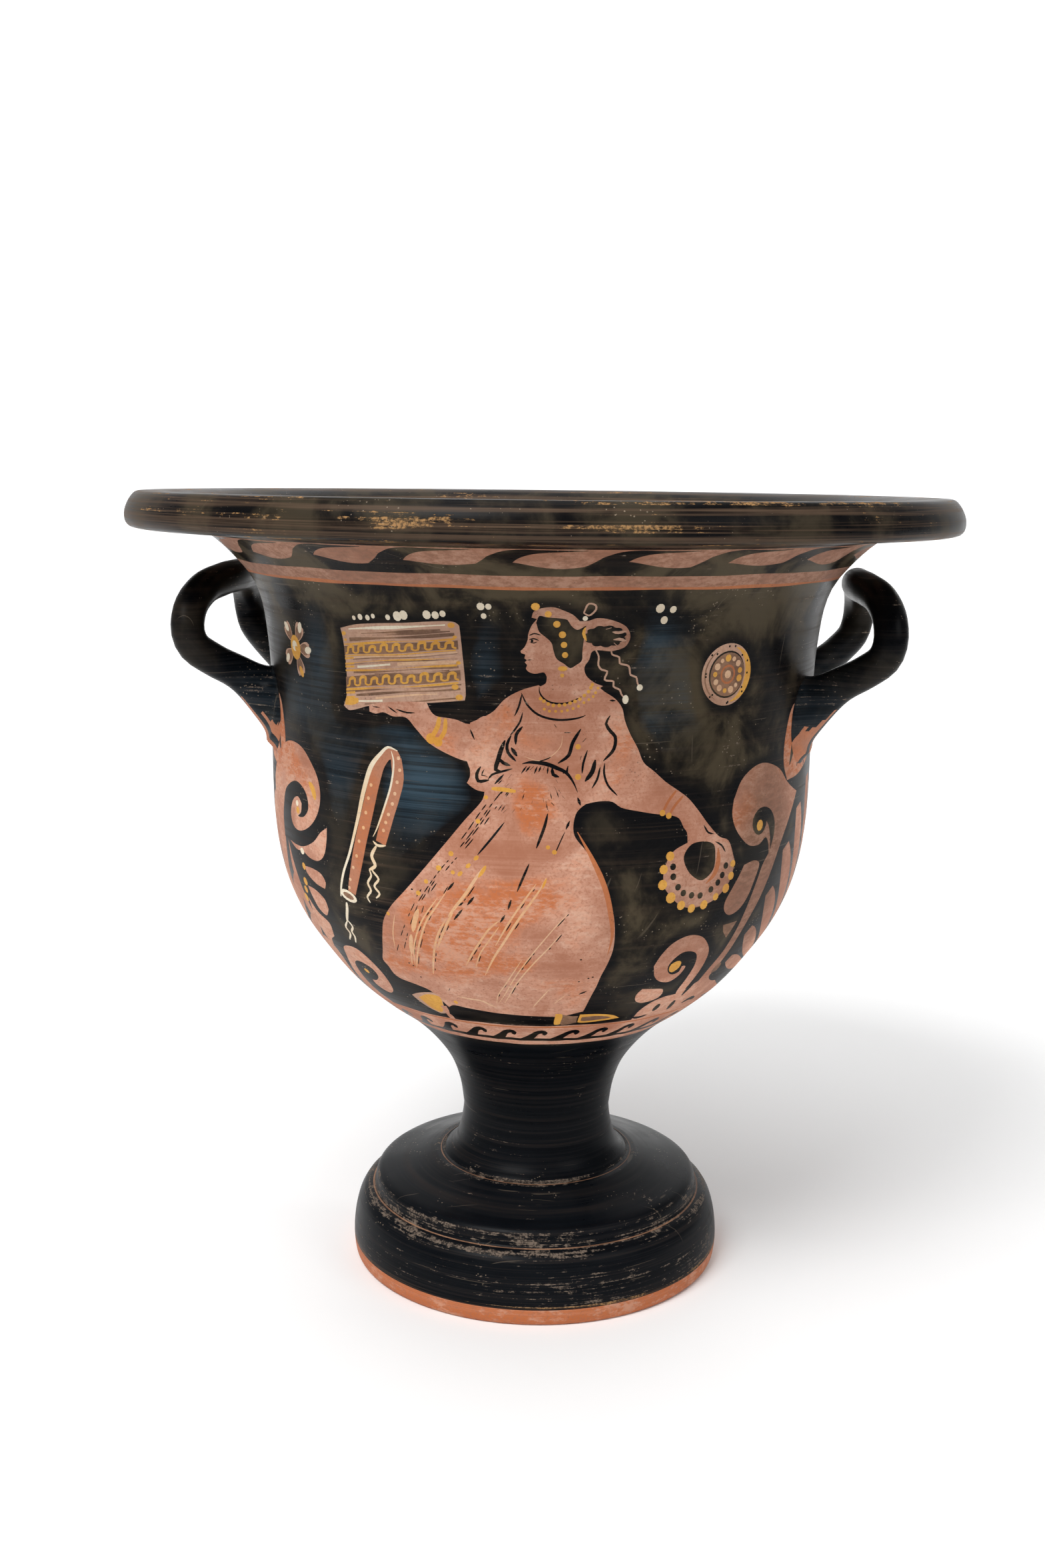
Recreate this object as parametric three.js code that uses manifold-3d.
// A red-figure bell krater: one fired-clay vessel with a disc foot on a stem, an open bowl,
// a flaring neck under a heavy lip, and two upturned loop handles on the sides.
// Millimetres, +Z up, origin at the middle of the underside, handles along X.

import * as THREE from 'three';
import { mergeVertices } from 'three/addons/utils/BufferGeometryUtils.js';
import Module from 'manifold-3d';

const wasm = await Module();
wasm.setup();

// Foot
const BASE_RADIUS = 86.7;
const FOOT_RADIUS = 87.6;
const FOOT_BULGE_HEIGHT = 9;
const FOOT_WALL_HEIGHT = 31.5;
const FOOT_SHOULDER_RADIUS = 80;
const DISC_RADIUS = 76;
const DISC_STEP_HEIGHT = 8.2;
const DISC_TOP_RISE = 9.5;

// Stem
const STEM_COLLAR_RADIUS = 42;
const STEM_RADIUS = 34.8;
const STEM_THROAT_HEIGHT = 22.8;

// Bowl and neck
const BODY_RADIUS = 123.2;
const BOWL_HEIGHT = 160;
const WALL_HEIGHT = 51;
const NECK_RADIUS = 150;
const NECK_HEIGHT = 59;
const WALL = 8;
const BOWL_FLOOR_HEIGHT = 44;

// Lip
const LIP_RADIUS = 185.5;
const LIP_THICKNESS = 15.5;
const LIP_UNDERSIDE_RISE = 2.5;
const LIP_FLAT_RADIUS = 179.5;
const LIP_FLAT_WIDTH = 10.5;

// Hollow under the foot
const STANDING_RING_WIDTH = 17;
const HOLLOW_STEM_RADIUS = 20;
const HOLLOW_TOP_GAP = 30;

// Handles
const BAR_RADIUS = 7.2;
const ROOT_RADIUS = 12.6;
const ROOT_LENGTH = 27;
const ROOT_SPREAD = 39;
const ROOT_DROP = 18;
const LOOP_SPREAD = 58;
const LOOP_REACH = 26.4;
const LOOP_RISE = 56;

// Fineness of the facets
const TURN_SEGMENTS = 52;
const BAR_SIDES = 12;
const BAR_STEPS = 38;
const OUTSIDE_STEPS = 22;
const INSIDE_STEPS = 15;

// Levels, worked out from the dimensions above
const SHOULDER_Z = FOOT_WALL_HEIGHT;
const DISC_Z = SHOULDER_Z + DISC_STEP_HEIGHT;
const COLLAR_Z = DISC_Z + DISC_TOP_RISE;
const THROAT_Z = COLLAR_Z + STEM_THROAT_HEIGHT;
const BODY_Z = THROAT_Z + BOWL_HEIGHT;
const WAIST_Z = BODY_Z + WALL_HEIGHT;
const NECK_Z = WAIST_Z + NECK_HEIGHT;
const LIP_CORNER_Z = NECK_Z + LIP_UNDERSIDE_RISE;
const TOP_Z = LIP_CORNER_Z + LIP_THICKNESS;
const FLOOR_Z = THROAT_Z + BOWL_FLOOR_HEIGHT;

const point = (radius, height) => new THREE.Vector2(radius, height);
const between = (low, high, share) => low + (high - low) * share;

// Stations are [share of the height, share of the spread] between two levels.
function outlinePoints(stations, lowZ, highZ, lowRadius, highRadius) {
  return stations.map(([up, out]) => point(between(lowRadius, highRadius, out), between(lowZ, highZ, up)));
}

// The stem narrows from its collar to the throat in one concave sweep.
const STEM_STATIONS = [[0, 1], [0.12, 0.72], [0.35, 0.28], [0.65, 0.06]];

// The bowl opens from the throat like a bell turned over and ends upright at the body.
const BOWL_STATIONS = [
  [0, 0], [0.075, 0.022], [0.15, 0.072], [0.225, 0.168], [0.297, 0.3], [0.362, 0.46],
  [0.437, 0.612], [0.525, 0.74], [0.612, 0.846], [0.706, 0.924], [0.8, 0.969], [0.9, 0.992],
];

// The upper wall is almost straight, then the neck flares out to the lip.
const NECK_STATIONS = [[0, 0.01], [0.3, 0.07], [0.49, 0.138], [0.66, 0.28], [0.83, 0.58], [0.94, 0.83]];

const stemPoints = outlinePoints(STEM_STATIONS, COLLAR_Z, THROAT_Z, STEM_RADIUS, STEM_COLLAR_RADIUS);
const bowlPoints = outlinePoints(BOWL_STATIONS, THROAT_Z, BODY_Z, STEM_RADIUS, BODY_RADIUS);
const neckPoints = outlinePoints(NECK_STATIONS, WAIST_Z, NECK_Z, BODY_RADIUS, NECK_RADIUS);

// Lip: flat underside, full round corner below, longer round shoulder above.
function lipPoints() {
  const fall = TOP_Z - LIP_CORNER_Z;
  const out = LIP_RADIUS - LIP_FLAT_RADIUS;
  return [
    point(NECK_RADIUS, NECK_Z),
    point(LIP_RADIUS - 0.5 * out, LIP_CORNER_Z),
    point(LIP_RADIUS - 0.13 * out, LIP_CORNER_Z + 0.13 * fall),
    point(LIP_RADIUS, LIP_CORNER_Z + 0.36 * fall),
    point(LIP_RADIUS - 0.08 * out, LIP_CORNER_Z + 0.58 * fall),
    point(LIP_RADIUS - 0.32 * out, LIP_CORNER_Z + 0.8 * fall),
    point(LIP_RADIUS - 0.64 * out, LIP_CORNER_Z + 0.94 * fall),
    point(LIP_FLAT_RADIUS, TOP_Z),
  ];
}

// Foot: standing edge, swelling wall, shoulder, hollowed step and the sloping top of the disc.
function footPoints() {
  const rise = FOOT_WALL_HEIGHT - FOOT_BULGE_HEIGHT;
  const tuck = FOOT_RADIUS - FOOT_SHOULDER_RADIUS;
  const step = FOOT_SHOULDER_RADIUS - DISC_RADIUS;
  return [
    point(BASE_RADIUS, 0),
    point(FOOT_RADIUS, FOOT_BULGE_HEIGHT),
    point(FOOT_RADIUS - 0.2 * tuck, FOOT_BULGE_HEIGHT + 0.45 * rise),
    point(FOOT_RADIUS - 0.55 * tuck, FOOT_BULGE_HEIGHT + 0.8 * rise),
    point(FOOT_SHOULDER_RADIUS, SHOULDER_Z),
    point(DISC_RADIUS + 0.2 * step, SHOULDER_Z + 0.2 * DISC_STEP_HEIGHT),
    point(DISC_RADIUS - 0.15 * step, SHOULDER_Z + 0.6 * DISC_STEP_HEIGHT),
    point(DISC_RADIUS, DISC_Z),
    point(between(DISC_RADIUS, STEM_COLLAR_RADIUS, 0.5), between(DISC_Z, COLLAR_Z, 0.55)),
  ];
}

// A smooth curve through the points, sampled evenly.
function smooth(points, count) {
  return new THREE.SplineCurve(points).getPoints(count);
}

const bodyPoints = [...bowlPoints, point(BODY_RADIUS, BODY_Z), ...neckPoints, point(NECK_RADIUS, NECK_Z)];

const outerOutline = [
  point(0, 0),
  ...footPoints(),
  ...smooth([...stemPoints, bowlPoints[0]], 5).slice(0, -1),
  ...smooth(bodyPoints, OUTSIDE_STEPS).slice(0, -1),
  ...lipPoints(),
  point(0, TOP_Z),
];

// Moves each point of a curve by the wall's thickness to its inner side, the left of its way up.
function offsetInwards(points, distance) {
  return points.map((current, index) => {
    const before = points[Math.max(index - 1, 0)];
    const after = points[Math.min(index + 1, points.length - 1)];
    const way = after.clone().sub(before).normalize();
    return point(current.x - way.y * distance, current.y + way.x * distance);
  });
}

// Bowl inside: a dished floor that runs into the wall's offset, out to the flat top of the lip.
function cavityOutline() {
  const joinZ = between(THROAT_Z, BODY_Z, 0.46);
  const offset = offsetInwards(smooth(bodyPoints, INSIDE_STEPS), WALL);
  const wall = offset.filter((p) => p.y > joinZ && p.y < NECK_Z - 0.5 * WALL);
  const lean = (wall[1].x - wall[0].x) / (wall[1].y - wall[0].y);
  const floorEdge = Math.max(wall[0].x - lean * (wall[0].y - FLOOR_Z), 0.3 * wall[0].x);
  const floor = new THREE.QuadraticBezierCurve(point(0, FLOOR_Z), point(floorEdge, FLOOR_Z), wall[0]);
  const mouth = point(LIP_FLAT_RADIUS - LIP_FLAT_WIDTH, TOP_Z);
  const last = wall[wall.length - 1];
  const roll = new THREE.QuadraticBezierCurve(last, point(between(last.x, mouth.x, 0.45), TOP_Z - 0.6), mouth);
  const clear = TOP_Z + LIP_THICKNESS;
  return [
    ...floor.getPoints(4).slice(0, -1),
    ...wall,
    ...roll.getPoints(4).slice(1),
    point(mouth.x, clear),
    point(0, clear),
  ];
}

// Hollow under the foot: a wide dish that narrows into the stem.
function hollowOutline() {
  const ringRadius = BASE_RADIUS - STANDING_RING_WIDTH;
  const topZ = FLOOR_Z - HOLLOW_TOP_GAP;
  const dish = smooth([
    point(ringRadius, 0),
    point(between(HOLLOW_STEM_RADIUS, ringRadius, 0.82), 0.3 * SHOULDER_Z),
    point(between(HOLLOW_STEM_RADIUS, ringRadius, 0.5), 0.85 * SHOULDER_Z),
    point(between(HOLLOW_STEM_RADIUS, ringRadius, 0.1), COLLAR_Z - 0.2 * DISC_TOP_RISE),
    point(HOLLOW_STEM_RADIUS, between(COLLAR_Z, topZ, 0.5)),
    point(0.6 * HOLLOW_STEM_RADIUS, topZ),
  ], 7);
  return [point(0, -SHOULDER_Z), point(ringRadius, -SHOULDER_Z), ...dish, point(0, topZ)];
}

// A closed geometry becomes a solid once its shared vertices are merged.
function toSolid(geometry) {
  const bare = geometry.clone();
  bare.deleteAttribute('normal');
  bare.deleteAttribute('uv');
  const merged = mergeVertices(bare);
  const corners = merged.index.array;
  const triangles = [];
  for (let i = 0; i < corners.length; i += 3) {
    const [a, b, c] = [corners[i], corners[i + 1], corners[i + 2]];
    if (a !== b && b !== c && c !== a) triangles.push(a, b, c);
  }
  const mesh = new wasm.Mesh({
    numProp: 3,
    vertProperties: new Float32Array(merged.attributes.position.array),
    triVerts: new Uint32Array(triangles),
  });
  return new wasm.Manifold(mesh);
}

function toGeometry(solid) {
  const mesh = solid.getMesh();
  const geometry = new THREE.BufferGeometry();
  geometry.setAttribute('position', new THREE.BufferAttribute(mesh.vertProperties, 3));
  geometry.setIndex(new THREE.BufferAttribute(mesh.triVerts, 1));
  geometry.computeVertexNormals();
  return geometry;
}

// An outline that starts and ends on the axis, turned about +Z.
function turned(outline) {
  const geometry = new THREE.LatheGeometry(outline, TURN_SEGMENTS);
  geometry.rotateX(Math.PI / 2);
  return toSolid(geometry);
}

// Stations of a handle's arm from its root to the top: [share of the reach, of the spread, of the rise].
const ARM_STATIONS = [
  [0.28, 0.12, 0.27], [0.66, 0.58, 0.4], [0.92, 0.93, 0.52], [1, 1, 0.64],
  [1, 0.92, 0.8], [0.92, 0.7, 0.93], [0.79, 0.32, 0.99],
];

// The middle line of one handle: out of the wall, up round the elbow, in over the top and back down.
function handleCurve(side) {
  const rootDistance = BODY_RADIUS - 0.5 * WALL;
  const rootX = Math.sqrt(rootDistance ** 2 - ROOT_SPREAD ** 2);
  const rootZ = WAIST_Z - ROOT_DROP;
  const arm = ARM_STATIONS.map(([out, apart, up], index) => [
    BODY_RADIUS + out * LOOP_REACH,
    index < ARM_STATIONS.length / 2 ? between(ROOT_SPREAD, LOOP_SPREAD, apart) : apart * LOOP_SPREAD,
    rootZ + up * LOOP_RISE,
  ]);
  arm.unshift([rootX, ROOT_SPREAD, rootZ]);
  const top = [BODY_RADIUS + 0.74 * LOOP_REACH, 0, rootZ + LOOP_RISE];
  const nearArm = arm.map(([x, y, z]) => [x, -y, z]);
  const line = [...nearArm, top, ...arm.reverse()];
  return new THREE.CatmullRomCurve3(line.map(([x, y, z]) => new THREE.Vector3(side * x, y, z)), false, 'centripetal');
}

// A root swells from the bar into the wall.
function handleRoot(curve, share) {
  const start = curve.getPointAt(share);
  const way = curve.getTangentAt(share);
  if (share > 0.5) way.negate();
  const swell = ROOT_RADIUS - BAR_RADIUS;
  const outline = [
    point(0, 0),
    point(ROOT_RADIUS, 0),
    point(BAR_RADIUS + 0.55 * swell, 0.3 * ROOT_LENGTH),
    point(BAR_RADIUS + 0.15 * swell, 0.65 * ROOT_LENGTH),
    point(0.96 * BAR_RADIUS, ROOT_LENGTH),
    point(0, ROOT_LENGTH),
  ];
  const geometry = new THREE.LatheGeometry(outline, BAR_SIDES);
  geometry.applyQuaternion(new THREE.Quaternion().setFromUnitVectors(new THREE.Vector3(0, 1, 0), way));
  geometry.translate(start.x, start.y, start.z);
  return toSolid(geometry);
}

function handle(side) {
  const curve = handleCurve(side);
  const section = new THREE.Shape();
  section.absarc(0, 0, BAR_RADIUS, 0, 2 * Math.PI);
  const bar = new THREE.ExtrudeGeometry(section, {
    steps: BAR_STEPS,
    curveSegments: BAR_SIDES / 2,
    extrudePath: curve,
  });
  return toSolid(bar).add(handleRoot(curve, 0)).add(handleRoot(curve, 1));
}

function kraterSolid() {
  return turned(outerOutline)
    .add(handle(1))
    .add(handle(-1))
    .subtract(turned(cavityOutline()))
    .subtract(turned(hollowOutline()));
}

const blackGloss = new THREE.MeshStandardMaterial({ color: 0x1d1b1d, roughness: 0.35, metalness: 0 });

const krater = new THREE.Mesh(toGeometry(kraterSolid()), blackGloss);
krater.name = 'krater';

const vessel = new THREE.Group();
vessel.add(krater);

export default vessel;
